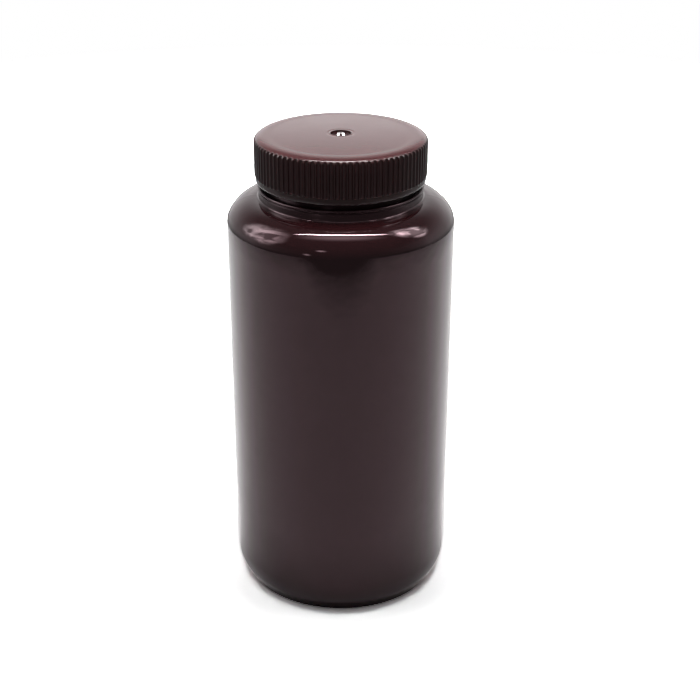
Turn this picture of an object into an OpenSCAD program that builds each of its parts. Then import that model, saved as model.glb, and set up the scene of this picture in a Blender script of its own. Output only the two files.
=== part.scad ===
// Wide-mouth reagent bottle: a blow-moulded body, a ribbed screw cap and the
// sealing disc inside the cap. Millimetres, +Z up, origin at the centre of the base.

/* [Body] */
// Outside diameter of the straight wall
body_d = 92; // [89:0.5:104]
// Height from the base to the flat top of the shoulder
body_h = 170.9; // [110:0.5:240]
// Thickness of the blown wall
wall = 1.5; // [1:0.1:2.4]

/* [Shoulder] */
// Height of the rounding between the wall and the top of the shoulder
shoulder_h = 10.3; // [9.6:0.1:11.2]
// Radius of the shoulder where it leaves the wall
shoulder_r = 8; // [6:0.1:9.2]
// Radius inside the corner between the shoulder and the collar
collar_fillet = 0.8; // [0.3:0.1:1.2]

/* [Heel and base] */
// Height of the heel curve above the base
heel_h = 13.3; // [9:0.1:18]
// Radius of the long heel curve
heel_r = 22.7; // [19:0.1:30]
// Radius of the tight curve onto the standing ring
foot_r = 2; // [1:0.1:3.5]
// Width of the flat ring that the bottle stands on
stand_w = 5.5; // [3:0.1:9]
// Height of the push-up in the middle of the base
push_up = 3; // [1.5:0.1:5]
// Length of the weld line that the mould pinches across the base
pinch_l = 44; // [20:1:56]
// Width of the weld line
pinch_w = 1.2; // [0.6:0.1:2]
// Height of the weld line
pinch_h = 0.35; // [0.2:0.05:0.6]

/* [Neck] */
// Diameter of the neck between the threads
neck_d = 60.2; // [57:0.1:61]
// Height from the top of the shoulder to the mouth
neck_h = 22.5; // [21.2:0.1:26]
// Thickness of the neck wall
neck_wall = 2.4; // [1.6:0.1:3.4]
// How far the collar stands out from the neck
collar_step = 2.9; // [2.2:0.1:3.1]
// Height of the collar
collar_h = 3.1; // [2:0.1:3.4]
// Height of the groove between the collar and the bead
groove_h = 0.4; // [0.3:0.05:0.7]
// Depth of that groove into the collar
groove_depth = 0.35; // [0.2:0.05:0.6]
// How far the bead stands out from the neck
bead_step = 3.3; // [3.15:0.05:3.6]
// Thickness of the bead
bead_t = 1.2; // [0.8:0.05:1.5]
// Radius of the two edges of the mouth
lip_r = 0.6; // [0.2:0.1:1]
// Radius inside the corner between the shoulder and the mouth
throat_r = 2; // [0.5:0.1:4]

/* [Thread] */
// Turns of the thread in an inch of height
thread_per_inch = 6; // [5:1:8]
// Turns of thread on the neck and in the cap
thread_turns = 1.5; // [1:0.25:1.75]
// How far the neck thread stands out
thread_h = 1.15; // [0.9:0.05:1.4]
// Width of a thread ridge where it joins its wall
thread_base = 2.2; // [1.6:0.05:2.3]
// Width of a thread ridge along its crest
thread_crest = 0.9; // [0.5:0.05:1.1]
// Distance from the mouth to the upper end of the neck thread
thread_drop = 2.6; // [2:0.1:3.5]
// Distance from the rim of the cap to the lower end of its thread
thread_rise = 2.9; // [2.4:0.1:3.4]
// Turn over which each end of a thread fades out, in degrees
thread_fade = 40; // [20:5:80]
// Radial clearance between a thread crest and the wall it runs past
thread_gap = 0.5; // [0.35:0.05:0.8]
// Clearance between the flanks that bear on each other
flank_gap = 0.2; // [0.15:0.05:0.35]

/* [Cap] */
// Height of the cap
cap_h = 18.5; // [16.5:0.1:19.5]
// Thickness of the skirt behind the flutes
cap_wall = 1.95; // [1.2:0.05:3]
// Thickness of the top panel
panel_t = 2; // [1.6:0.1:3]
// How far the top panel rises from its edge to its middle
panel_dome = 0.6; // [0.2:0.1:0.8]
// Width of the rounding at the top edge
edge_w = 3.2; // [2.7:0.1:4.5]
// Height of the rounding at the top edge
edge_h = 2.1; // [1.8:0.1:2.6]
// Radius of that rounding where it leaves the skirt
edge_r = 1.3; // [0.9:0.1:1.6]
// Height of the plain band at the rim
band_h = 2.6; // [1.5:0.1:4.5]
// How far the band stands out from the bottom of the flutes
band_step = 0.4; // [0.1:0.05:0.6]
// Radius of the two edges of the rim
rim_r = 0.5; // [0.2:0.1:0.8]

/* [Grip flutes] */
// Number of flutes around the skirt
flute_count = 90; // [60:2:104]
// Radius of a flute, which is also its depth
flute_r = 0.8; // [0.5:0.05:0.95]

/* [Gate mark] */
// Diameter of the dimple in the middle of the top panel
dimple_d = 8.4; // [5:0.1:12]
// Depth of the dimple
dimple_depth = 1; // [0.5:0.1:1.2]
// Radius of the moulding gate's stub in the dimple
gate_r = 1.6; // [1:0.1:2.2]
// How far the stub stands above the floor of the dimple
gate_h = 0.55; // [0.3:0.05:0.8]

/* [Liner] */
// Thickness of the sealing disc
liner_t = 1; // [0.6:0.1:2]
// Clearance between the disc and the skirt
liner_gap = 0.35; // [0.2:0.05:0.45]
// Radius of the bead in the skirt that keeps the disc in the cap
catch_r = 0.6; // [0.5:0.05:0.8]

/* [Hidden] */
$fn = 120;

amber = [0.24, 0.13, 0.13];
dark_brown = [0.30, 0.20, 0.20];
foam_white = [0.93, 0.93, 0.90];

inch = 25.4;
cut = 1;              // how far a cutting shape runs past the face that it opens
bury = 0.4;           // how deep a thread ridge is rooted in its wall
seg_angle = 10;       // turn from one thread section to the next
fade_floor = 0.06;    // share of its height that a thread keeps at its very end
min_round = 0.4;      // smallest radius inside the hollow body
flute_foot = 0.3;     // how far the flutes run down into the band

body_r = body_d / 2;
neck_r = neck_d / 2;
mouth_r = neck_r - neck_wall;
collar_r = neck_r + collar_step;
bead_r = neck_r + bead_step;
crown_end = collar_r + collar_fillet;

collar_z = body_h + collar_fillet;
groove_z = body_h + collar_h;
bead_z = groove_z + groove_h;
mouth_z = body_h + neck_h;

pitch = inch / thread_per_inch;
thread_top = mouth_z - thread_drop;
neck_thread_z = thread_top - thread_turns * pitch;

bore_r = neck_r + thread_h + thread_gap;
skirt_r = bore_r + cap_wall;
cap_r = skirt_r + flute_r;
ceiling_z = mouth_z + liner_t;
cap_z1 = ceiling_z + panel_t;
cap_z0 = cap_z1 - cap_h;
edge_z = cap_z1 - panel_dome;
band_r = skirt_r + band_step;
grip_z = cap_z0 + band_h;
liner_r = bore_r - liner_gap;

// Half the width of a ridge at a distance above its root
function half_width(height) =
    thread_base / 2 - (thread_base - thread_crest) / 2 * height / thread_h;

// Rise that brings the upper flank of the cap's ridge up to the lower flank of
// the neck's, from half a pitch below it
contact_r = neck_r + thread_h;
ridge_sum = half_width(thread_h) + half_width(bore_r - contact_r);
flank_rise = pitch / 2 - ridge_sum - flank_gap;
cap_thread_start = neck_thread_z - pitch / 2 + flank_rise;
// Turns by which the cap's ridge starts below that point, on the same helix
start_turns = (cap_thread_start - cap_z0 - thread_rise) / pitch;

// Second radius of a rounding made of two arcs that meet in a tangent: the first
// leaves the wall with radius r, and the second ends flat, w in and h up
function crown_radius(w, h, r) = (pow(w - r, 2) + h * h - r * r) / (2 * (h - r));
function crown_angle(w, h, r) = atan2(crown_radius(w, h, r) - h, w - r);

// Radius of the sphere whose cap has half width a and height s
function dish_radius(a, s) = (a * a + s * s) / (2 * s);

// Slice of a disc from angle a0 to angle a1, less than half a turn apart
module sector(r, a0, a1) {
    reach = 2 * r;
    mid = (a0 + a1) / 2;
    intersection() {
        circle(r);
        polygon([[0, 0],
                 reach * [cos(a0), sin(a0)],
                 reach * [cos(mid), sin(mid)],
                 reach * [cos(a1), sin(a1)]]);
    }
}

// Both arcs of a rounding and the area behind them. The corner that they round is
// at [r_out, z_top] and inset moves them inwards, as the inside of a wall does
module crown(r_out, z_top, w, h, r, inset = 0) {
    r2 = crown_radius(w, h, r);
    a = crown_angle(w, h, r);
    centre = [r_out - r, z_top - h];
    centre2 = [r_out - w, z_top - r2];
    translate(centre) sector(r - inset, 0, a);
    translate(centre2) sector(r2 - inset, a, 90);
    polygon([[0, z_top - h],
             [r_out - inset, z_top - h],
             centre + (r - inset) * [cos(a), sin(a)],
             [r_out - w, z_top - inset],
             [0, z_top - inset]]);
}

// Heel: the long curve from the wall and the tight one onto the standing ring
module heel(inset = 0) {
    tight = max(foot_r - inset, min_round);
    long = heel_r - inset;
    rise = heel_h - inset - tight;
    run = sqrt(pow(long - tight, 2) - rise * rise);
    a = -atan2(rise, run);
    centre = [body_r - heel_r, heel_h];
    foot = [centre[0] + run, inset + tight];
    translate(centre) sector(long, a, 0);
    translate(foot) sector(tight, -90, a);
    polygon([[0, inset],
             [foot[0], inset],
             centre + long * [cos(a), sin(a)],
             [body_r - inset, heel_h],
             [0, heel_h]]);
}

heel_run = sqrt(pow(heel_r - foot_r, 2) - pow(heel_h - foot_r, 2));
stand_r = body_r - heel_r + heel_run;
push_r = stand_r - stand_w;
dome_r = dish_radius(push_r, push_up);
dimple_r = dish_radius(dimple_d / 2, dimple_depth);
panel_r = dish_radius(cap_r - edge_w, panel_dome);
gate_z = cap_z1 - dimple_depth + gate_h - gate_r;

// Half outline of the closed body, without its neck
module body_shape(inset = 0) {
    heel(inset);
    translate([0, heel_h]) square([body_r - inset, body_h - shoulder_h - heel_h]);
    crown(body_r, body_h, body_r - crown_end, shoulder_h, shoulder_r, inset);
}

// Rounds the corner at [r, z] between a flat face below it and a wall inside it
module corner_fill(r, z, radius) {
    translate([r, z]) difference() {
        translate([-cut, -cut]) square(radius + cut);
        translate([radius, radius]) circle(radius);
    }
}

// Half outline of a tube that stands on [r0, 0], with both edges of its top rounded
module rounded_tube(r0, r1, height, edge) {
    translate([r0, 0]) square([r1 - r0, height - edge]);
    translate([r0 + edge, 0]) square([r1 - r0 - 2 * edge, height]);
    translate([r0 + edge, height - edge]) sector(edge, 90, 180);
    translate([r1 - edge, height - edge]) sector(edge, 0, 90);
}

// Ridge of one thread. It leaves the wall at root_r for crest_r, inside or
// outside it, and its middle starts at height z0 and angle a0
module thread_ridge(root_r, crest_r, z0, a0) {
    side = sign(crest_r - root_r);
    count = ceil(thread_turns * 360 / seg_angle);
    step = thread_turns * 360 / count;
    half_root = half_width(-bury);
    half_crest = half_width(thread_h);
    function fade(i) = min(1, max(fade_floor, min(i, count - i) * step / thread_fade));
    function section(i) = let (
        a = a0 + i * step,
        z = z0 + i * step / 360 * pitch,
        inner = root_r - side * bury,
        outer = root_r + (crest_r - root_r) * fade(i)
    ) [
        [inner * cos(a), inner * sin(a), z - half_root],
        [outer * cos(a), outer * sin(a), z - half_crest],
        [outer * cos(a), outer * sin(a), z + half_crest],
        [inner * cos(a), inner * sin(a), z + half_root]
    ];
    function turned(face) = side > 0 ? face : [face[2], face[1], face[0]];
    points = [for (i = [0:count]) each section(i)];
    sides = [for (i = [0:count - 1], k = [0:3]) let (
        p = 4 * i + k,
        q = 4 * i + (k + 1) % 4
    ) each [[p, q, p + 4], [q, q + 4, p + 4]]];
    last = 4 * count;
    ends = [[0, 2, 1], [0, 3, 2],
            [last, last + 1, last + 2], [last, last + 2, last + 3]];
    polyhedron(points, [for (face = concat(sides, ends)) turned(face)], convexity = 6);
}

// Half outline of the neck from the shoulder to the mouth, bore not yet opened
module neck_shape() {
    foot_z = body_h - wall;
    translate([mouth_r, foot_z])
        square([collar_r - mouth_r, groove_z - foot_z]);
    translate([mouth_r, foot_z])
        square([collar_r - groove_depth - mouth_r, bead_z + bead_t / 2 - foot_z]);
    translate([mouth_r, bead_z]) square([bead_r - bead_t / 2 - mouth_r, bead_t]);
    translate([bead_r - bead_t / 2, bead_z + bead_t / 2]) sector(bead_t / 2, -90, 0);
    translate([bead_r - bead_t / 2, bead_z + bead_t / 2]) sector(bead_t / 2, 0, 90);
    translate([0, body_h]) rounded_tube(mouth_r, neck_r, neck_h, lip_r);
    corner_fill(collar_r, body_h, collar_fillet);
}

// Half outline of the space inside the bottle
module hollow_shape() {
    difference() {
        body_shape(wall);
        translate([0, wall + push_up - dome_r]) circle(dome_r);
    }
    translate([0, body_h - wall - cut]) square([mouth_r, neck_h + wall + 2 * cut]);
    corner_fill(mouth_r, body_h - wall, throat_r);
}

// Weld line that the two halves of the mould leave across the push-up
module pinch_line() {
    intersection() {
        translate([-pinch_l / 2, -pinch_w / 2, 0]) cube([pinch_l, pinch_w, push_up + wall / 2]);
        rotate_extrude() intersection() {
            translate([0, push_up - dome_r]) difference() {
                circle(dome_r + wall / 2);
                circle(dome_r - pinch_h);
            }
            square([pinch_l, push_up + wall]);
        }
    }
}

// Half outline of the whole bottle
module bottle_shape() {
    difference() {
        union() {
            body_shape();
            neck_shape();
        }
        hollow_shape();
        translate([0, push_up - dome_r]) circle(dome_r);
    }
}

// The bottle is one moulding. It is stored as four rings that meet face to face where
// its wall is straight, so that each can be hollow in collision
module bottle_ring(z0, z1) {
    rotate_extrude() intersection() {
        bottle_shape();
        translate([0, z0]) square([body_r + cut, z1 - z0]);
    }
}

module bottle_base() {
    color(amber) {
        bottle_ring(-cut, heel_h);
        pinch_line();
    }
}

module bottle_wall() {
    color(amber) bottle_ring(heel_h, body_h - shoulder_h);
}

module bottle_shoulder() {
    color(amber) bottle_ring(body_h - shoulder_h, collar_z);
}

module bottle_neck() {
    color(amber) {
        bottle_ring(collar_z, mouth_z + cut);
        thread_ridge(neck_r, neck_r + thread_h, neck_thread_z, 0);
    }
}

// Half outline of the low dome on top of the panel
module panel_dome_shape() {
    intersection() {
        translate([0, cap_z1 - panel_r]) circle(panel_r, $fn = 1440);
        translate([0, edge_z - panel_t / 4]) square([cap_r - edge_w, panel_t]);
    }
}

// Half outline of the cap before its flutes are cut
module cap_shape() {
    difference() {
        union() {
            translate([bore_r, grip_z]) square([cap_r - bore_r, edge_z - edge_h - grip_z]);
            translate([0, grip_z + rim_r]) mirror([0, 1])
                rounded_tube(bore_r, band_r, band_h + rim_r, rim_r);
            difference() {
                union() {
                    crown(cap_r, edge_z, edge_w, edge_h, edge_r);
                    panel_dome_shape();
                }
                translate([0, cap_z1 - dimple_depth + dimple_r]) circle(dimple_r);
            }
            translate([0, gate_z]) sector(gate_r, 0, 90);
        }
        translate([-cut, grip_z]) square([bore_r + cut, ceiling_z - grip_z]);
    }
    translate([bore_r, mouth_z - catch_r]) sector(catch_r, 90, 180);
    translate([bore_r, mouth_z - catch_r]) sector(catch_r, 180, 270);
}

module screw_cap() {
    color(dark_brown) {
        difference() {
            rotate_extrude() cap_shape();
            for (i = [0:flute_count - 1])
                rotate((i + 0.5) * 360 / flute_count - 90)
                    translate([cap_r, 0, grip_z - flute_foot]) cylinder(r = flute_r, h = cap_h);
        }
        thread_ridge(bore_r, bore_r - thread_h, cap_z0 + thread_rise, -start_turns * 360);
    }
}

module cap_liner() {
    color(foam_white) translate([0, 0, mouth_z]) cylinder(r = liner_r, h = liner_t);
}

bottle_base();
bottle_wall();
bottle_shoulder();
bottle_neck();
screw_cap();
cap_liner();
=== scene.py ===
"""Wide-mouth reagent bottle, dressed around its solid model.

A blow-moulded polyethylene body, a ribbed polypropylene screw cap and the foamed
sealing disc in the cap. Sizes are millimetres, and meshes are made in metres.
"""

import logging
import math
from abc import ABC, abstractmethod
from collections.abc import Callable, Mapping, Sequence
from dataclasses import dataclass, field
from enum import Enum
from typing import Any

import bpy
import numpy as np
from mathutils import Matrix, Vector, noise


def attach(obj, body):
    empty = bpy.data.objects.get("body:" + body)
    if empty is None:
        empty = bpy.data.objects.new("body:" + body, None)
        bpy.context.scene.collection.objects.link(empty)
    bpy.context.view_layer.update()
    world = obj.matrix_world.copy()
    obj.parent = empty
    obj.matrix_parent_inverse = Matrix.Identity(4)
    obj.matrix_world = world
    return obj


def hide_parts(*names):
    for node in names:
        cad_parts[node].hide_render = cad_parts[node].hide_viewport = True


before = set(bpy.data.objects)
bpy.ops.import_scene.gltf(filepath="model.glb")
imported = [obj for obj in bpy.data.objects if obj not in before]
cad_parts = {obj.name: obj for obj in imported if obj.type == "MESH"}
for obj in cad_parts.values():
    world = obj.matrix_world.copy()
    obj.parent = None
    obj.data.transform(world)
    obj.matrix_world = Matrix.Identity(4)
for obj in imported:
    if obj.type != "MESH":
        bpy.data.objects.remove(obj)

MM = 0.001
INCH_MM = 25.4
THREADS_PER_INCH = 6
# Points closer than this are one
SAME_MM = 1e-4
# Edges that turn by more than this are shaded sharp
SHARP_DEG = 50.0
LOG = logging.getLogger("reagent_bottle")

Point = tuple[float, float]
Triple = tuple[float, float, float]
# Two places, then the levels there
Span = tuple[float, float, float, float]
Outline = list[Point]
Push = Callable[[np.ndarray, np.ndarray, np.ndarray], np.ndarray]


class Body(Enum):
    """Moving bodies of the assembly."""

    BOTTLE = "bottle"
    CAP = "cap"
    LINER = "liner"


class Slot(Enum):
    """Material slots of the finishes."""

    AMBER_POLYETHYLENE = "amber_polyethylene"
    BROWN_POLYPROPYLENE = "brown_polypropylene"
    FOAMED_POLYETHYLENE = "foamed_polyethylene"


# ---------------------------------------------------------------- colour and nodes


def linear(hex_colour: str) -> tuple[float, float, float, float]:
    """Turns an sRGB hex colour into linear RGBA.

    Args:
        hex_colour: Six hex digits, with or without a leading #.

    Returns:
        Linear red, green and blue, and an alpha of 1.
    """
    digits = hex_colour.lstrip("#")
    channels = [int(digits[i:i + 2], 16) / 255 for i in (0, 2, 4)]
    red, green, blue = [
        c / 12.92 if c <= 0.04045 else ((c + 0.055) / 1.055) ** 2.4 for c in channels
    ]
    return red, green, blue, 1.0


def grey(level: float) -> tuple[float, float, float, float]:
    """Returns a neutral linear colour of this level."""
    return level, level, level, 1.0


def add_node(tree: bpy.types.NodeTree, kind: str, settings: Mapping[str, Any] | None = None,
             inputs: Mapping[Any, Any] | Sequence[Any] = ()) -> bpy.types.Node:
    """Adds one node, with its settings, its values and the links into it.

    Args:
        tree: Node tree that takes the node.
        kind: Type name of the node, without the ShaderNode that each starts with.
        settings: Attributes to set on the node.
        inputs: A value, a socket or a node for each input, in order or by name. A node
            stands for its first output.

    Returns:
        The new node.
    """
    node = tree.nodes.new("ShaderNode" + kind)
    for name, value in (settings or {}).items():
        setattr(node, name, value)
    pairs = inputs.items() if isinstance(inputs, Mapping) else enumerate(inputs)
    for key, value in pairs:
        if isinstance(value, bpy.types.Node):
            value = value.outputs[0]
        if isinstance(value, bpy.types.NodeSocket):
            tree.links.new(value, node.inputs[key])
        else:
            node.inputs[key].default_value = value
    return node


def blank_tree(owner: bpy.types.ID) -> bpy.types.NodeTree:
    """Gives a material, world or lamp an empty node tree.

    Args:
        owner: Material, world or lamp.

    Returns:
        Its node tree, without nodes.
    """
    owner.use_nodes = True
    owner.node_tree.nodes.clear()
    return owner.node_tree


def ramp_stops(node: bpy.types.Node, stops: Sequence[tuple[float, Any]]) -> None:
    """Sets the stops of a colour ramp.

    Args:
        node: Colour ramp node.
        stops: Position and linear colour of each stop, in order.
    """
    elements = node.color_ramp.elements
    while len(elements) < len(stops):
        elements.new(1.0)
    for element, (position, colour) in zip(elements, stops):
        element.position = position
        element.color = colour


def profile(tree: bpy.types.NodeTree, value: Any, points: Sequence[Point]) -> bpy.types.Node:
    """Maps a value through points joined by straight lines, and level past their ends.

    Args:
        tree: Node tree that takes the nodes.
        value: Socket or node of the value.
        points: Value and level of each point, in order.

    Returns:
        The node of the result.
    """
    level: Any = points[0][1]
    for (start, low), (end, high) in zip(points, points[1:]):
        step = add_node(tree, "MapRange", inputs=(value, start, end, 0.0, high - low))
        level = add_node(tree, "Math", {"operation": "ADD"}, (level, step))
    return level


# ---------------------------------------------------------------- finishes


@dataclass(frozen=True)
class Relief:
    """Random relief of a skin, too fine for the mesh.

    Attributes:
        size: Distance from one bump to the next, in millimetres.
        depth: How far the bumps stand out, in millimetres.
        strength: Share of the relief that shows.
        detail: Number of finer layers in it.
    """

    size: float
    depth: float
    strength: float
    detail: float = 1.0

    def lay(self, tree: bpy.types.NodeTree, place: bpy.types.NodeSocket,
            under: bpy.types.Node | None = None) -> bpy.types.Node:
        """Lays the relief over a finish.

        Args:
            tree: Node tree of the finish.
            place: Socket of the place on the piece, in metres.
            under: Node of the coarser relief that it lies on.

        Returns:
            The node that tilts the skin.
        """
        bumps = add_node(tree, "TexNoise", inputs={
            "Vector": place, "Scale": 1 / (self.size * MM), "Detail": self.detail})
        inputs: dict[str, Any] = {
            "Strength": self.strength, "Distance": self.depth * MM, "Height": bumps}
        if under is not None:
            inputs["Normal"] = under
        return add_node(tree, "Bump", inputs=inputs)


class Finish(ABC):
    """Finish of a piece.

    Attributes:
        name: Name of the material.
    """

    name: str

    @abstractmethod
    def shade(self, tree: bpy.types.NodeTree, place: bpy.types.NodeSocket) -> dict[str, Any]:
        """Adds the finish's own nodes.

        Args:
            tree: Node tree of the material.
            place: Socket of the place on the piece, in metres.

        Returns:
            A value, a socket or a node for each input of the shader that it sets.
        """

    def build(self) -> bpy.types.Material:
        """Makes the material.

        Returns:
            The finished material.
        """
        material = bpy.data.materials.new(self.name)
        tree = blank_tree(material)
        place = add_node(tree, "TexCoord").outputs["Object"]
        shader = add_node(tree, "BsdfPrincipled", inputs=self.shade(tree, place))
        add_node(tree, "OutputMaterial", inputs=(shader,))
        return material


@dataclass(frozen=True)
class BlownPolyethylene(Finish):
    """High-density polyethylene, tinted dark amber and blow-moulded.

    The eye gets a dense red-brown under a glossy skin that mirrors the room softly. The
    skin cooled against a blasted mould on one side only, so it carries shallow dents and
    a faint orange peel. The neck was pressed in a blasted tool, and is more satin.
    """

    name: str = "blown_polyethylene_amber"
    base: str = "#2b1315"
    deep: str = "#261113"
    reflection: str = "#ffd4de"
    ior: float = 1.54
    roughness: float = 0.04
    # Size of the clouds in the tint, and the part of them between its two colours
    cloud_mm: float = 26.0
    cloud_span: Point = (0.30, 0.70)
    # Size of the marks of handling, the part of them that shows, and what they add
    handled_mm: float = 9.0
    handled_span: Point = (0.35, 0.75)
    handled_rise: float = 0.03
    # Heights between which the skin turns satin, and its roughness above them
    neck_z: Point = (171.0, 171.8)
    neck_roughness: float = 0.20
    dents: Relief = Relief(7.0, 0.035, 1.0)
    peel: Relief = Relief(1.6, 0.01, 0.35)

    def shade(self, tree: bpy.types.NodeTree, place: bpy.types.NodeSocket) -> dict[str, Any]:
        """Adds the tint, the gloss, the satin of the neck and the relief.

        Args:
            tree: Node tree of the material.
            place: Socket of the place on the piece, in metres.

        Returns:
            A value, a socket or a node for each input of the shader that it sets.
        """
        cloud = add_node(tree, "TexNoise", inputs={
            "Vector": place, "Scale": 1 / (self.cloud_mm * MM), "Detail": 2.0,
            "Roughness": 0.5})
        tint = add_node(tree, "ValToRGB", inputs=(cloud,))
        ramp_stops(tint, list(zip(self.cloud_span, (linear(self.deep), linear(self.base)))))
        handled = add_node(tree, "TexNoise", inputs={
            "Vector": place, "Scale": 1 / (self.handled_mm * MM), "Detail": 5.0,
            "Roughness": 0.6})
        sheen = add_node(tree, "MapRange", inputs=(
            handled, *self.handled_span, self.roughness, self.roughness + self.handled_rise))
        height = add_node(tree, "SeparateXYZ", inputs=(place,)).outputs["Z"]
        low, high = self.neck_z
        satin = add_node(tree, "MapRange", inputs=(
            height, low * MM, high * MM, sheen, self.neck_roughness))
        skin = self.peel.lay(tree, place, under=self.dents.lay(tree, place))
        return {"Base Color": tint, "Roughness": satin, "IOR": self.ior,
                "Specular Tint": linear(self.reflection), "Normal": skin}


@dataclass(frozen=True)
class MouldedPolypropylene(Finish):
    """Polypropylene, tinted dark brown and injection-moulded.

    The eye gets a satin top, where the mould was fine-blasted, which spreads the light
    into a soft pale sheet. The ribs, the edge and the dimple released from polished steel
    and show small sharp lights; their colour is darkened there, a painted shade.
    """

    name: str = "moulded_polypropylene_brown"
    base: str = "#643c3e"
    deep: str = "#613a3c"
    ior: float = 1.47
    # Size of the clouds in the tint, the part of them between its two colours, and what
    # they add to the roughness
    cloud_mm: float = 14.0
    cloud_span: Point = (0.32, 0.68)
    cloud_rise: float = 0.06
    # Distance from the axis and roughness there, up to the reach
    sheen: tuple[Point, ...] = ((4.0, .09), (4.8, .21), (30.5, .21), (33.0, .04))
    reach_mm: float = 40.0
    # Distance from the axis and share of the colour left there: a painted shade that darkens
    # the dimple, the ribs and the edge, the places that are polished
    depth: tuple[Point, ...] = ((4.0, .4), (4.4, 1.0), (33.6, 1.0), (34.2, .6))
    # Grain of the blasted mould, finer in reality and drawn as coarse as it needs to show
    grain: Relief = Relief(0.5, 0.012, 0.35, 2.0)

    def shade(self, tree: bpy.types.NodeTree, place: bpy.types.NodeSocket) -> dict[str, Any]:
        """Adds the tint, the gloss over the distance from the axis, the painted shade in the
        dimple and on the ribs and the edge, and the grain.

        Args:
            tree: Node tree of the material.
            place: Socket of the place on the piece, in metres.

        Returns:
            A value, a socket or a node for each input of the shader that it sets.
        """
        cloud = add_node(tree, "TexNoise", inputs={
            "Vector": place, "Scale": 1 / (self.cloud_mm * MM), "Detail": 3.0,
            "Roughness": 0.55})
        tint = add_node(tree, "ValToRGB", inputs=(cloud,))
        ramp_stops(tint, list(zip(self.cloud_span, (linear(self.deep), linear(self.base)))))
        share = 1 / (self.reach_mm * MM)
        across = add_node(tree, "VectorMath", {"operation": "MULTIPLY"},
                          (place, (share, share, 0.0)))
        radius = add_node(tree, "VectorMath", {"operation": "LENGTH"},
                          (across,)).outputs["Value"]
        sheen = add_node(tree, "ValToRGB", inputs=(radius,))
        ramp_stops(sheen, [(r / self.reach_mm, grey(level)) for r, level in self.sheen])
        worn = add_node(tree, "Math", {"operation": "MULTIPLY_ADD"},
                        (cloud, self.cloud_rise, sheen))
        # Painted shade: darkens the colour in the dimple and on the ribs and the edge
        depth = profile(tree, radius, [(r / self.reach_mm, level) for r, level in self.depth])
        colour = add_node(tree, "VectorMath", {"operation": "SCALE"}, {0: tint, "Scale": depth})
        return {"Base Color": colour, "Roughness": worn, "IOR": self.ior,
                "Normal": self.grain.lay(tree, place)}


@dataclass(frozen=True)
class FoamedPolyethylene(Finish):
    """Expanded polyethylene sheet, punched into a disc.

    The eye gets an off-white, soft, matt sheet with closed cells about 0.45 mm across.
    """

    name: str = "foamed_polyethylene_white"
    base: str = "#eceae4"
    cell_edge: str = "#dcd9d0"
    roughness: float = 0.62
    ior: float = 1.5
    cell_mm: float = 0.45
    cell_depth_mm: float = 0.04
    # Part of the way from the middle of a cell to its edge over which the colour turns
    cell_span: Point = (0.25, 0.75)

    def shade(self, tree: bpy.types.NodeTree, place: bpy.types.NodeSocket) -> dict[str, Any]:
        """Adds the cells.

        Args:
            tree: Node tree of the material.
            place: Socket of the place on the piece, in metres.

        Returns:
            A value, a socket or a node for each input of the shader that it sets.
        """
        cells = add_node(tree, "TexVoronoi", {"feature": "SMOOTH_F1"}, {
            "Vector": place, "Scale": 1 / (self.cell_mm * MM), "Smoothness": 0.6})
        tint = add_node(tree, "ValToRGB", inputs=(cells,))
        ramp_stops(tint, list(zip(self.cell_span, (linear(self.base), linear(self.cell_edge)))))
        skin = add_node(tree, "Bump", inputs={
            "Strength": 0.5, "Distance": self.cell_depth_mm * MM, "Height": cells})
        return {"Base Color": tint, "Roughness": self.roughness, "IOR": self.ior,
                "Normal": skin}


# ---------------------------------------------------------------- outlines


def arc(centre: Point, radius: float, start: float, end: float, steps: int) -> Outline:
    """Lists points along an arc.

    Args:
        centre: Centre in the half plane, as radius and height.
        radius: Radius of the arc.
        start: Angle of the first point, in degrees.
        end: Angle of the last point, in degrees.
        steps: Number of steps between them.

    Returns:
        The points, both ends included.
    """
    angles = [math.radians(start + (end - start) * i / steps) for i in range(steps + 1)]
    return [(centre[0] + radius * math.cos(a), centre[1] + radius * math.sin(a))
            for a in angles]


def line(start: Point, end: Point, steps: int) -> Outline:
    """Lists points along a straight line.

    Args:
        start: First point.
        end: Last point.
        steps: Number of steps between them.

    Returns:
        The points, both ends included.
    """
    return [(start[0] + (end[0] - start[0]) * i / steps,
             start[1] + (end[1] - start[1]) * i / steps) for i in range(steps + 1)]


def joined(*parts: Outline) -> Outline:
    """Joins outlines end to end, and drops each point that repeats the one before.

    Args:
        parts: Outlines, in order.

    Returns:
        One outline.
    """
    result: Outline = []
    for point in (p for part in parts for p in part):
        if not result or math.dist(point, result[-1]) > SAME_MM:
            result.append(point)
    return result


def eased(share: Any) -> Any:
    """Clamps a share, or an array of them, to 0 to 1 and eases both of its ends."""
    share = np.clip(share, 0.0, 1.0)
    return share * share * (3 - 2 * share)


@dataclass(frozen=True)
class Crown:
    """Rounding made of two arcs that meet in a tangent, the first one off a wall.

    Attributes:
        width: Reach inwards from the wall to where the top is flat.
        height: Reach upwards.
        first: Radius of the arc that leaves the wall.
    """

    width: float
    height: float
    first: float

    @property
    def second(self) -> float:
        """Radius of the arc that ends flat."""
        rise = self.height - self.first
        return ((self.width - self.first) ** 2 + self.height ** 2 - self.first ** 2) / (2 * rise)

    @property
    def turn(self) -> float:
        """Angle at which the arcs meet, in degrees."""
        return math.degrees(math.atan2(self.second - self.height, self.width - self.first))

    def outline(self, r_out: float, z_top: float, steps: int, inset: float = 0.0) -> Outline:
        """Lists points up the rounding.

        Args:
            r_out: Radius of the wall.
            z_top: Height of the flat top.
            steps: Number of steps on each arc.
            inset: Distance to move the curve inwards, as the inside of a wall does.

        Returns:
            Points from the wall to the flat top.
        """
        return joined(
            arc((r_out - self.first, z_top - self.height), self.first - inset,
                0, self.turn, steps),
            arc((r_out - self.width, z_top - self.second), self.second - inset,
                self.turn, 90, steps),
        )


# ---------------------------------------------------------------- meshes of rings


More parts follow.
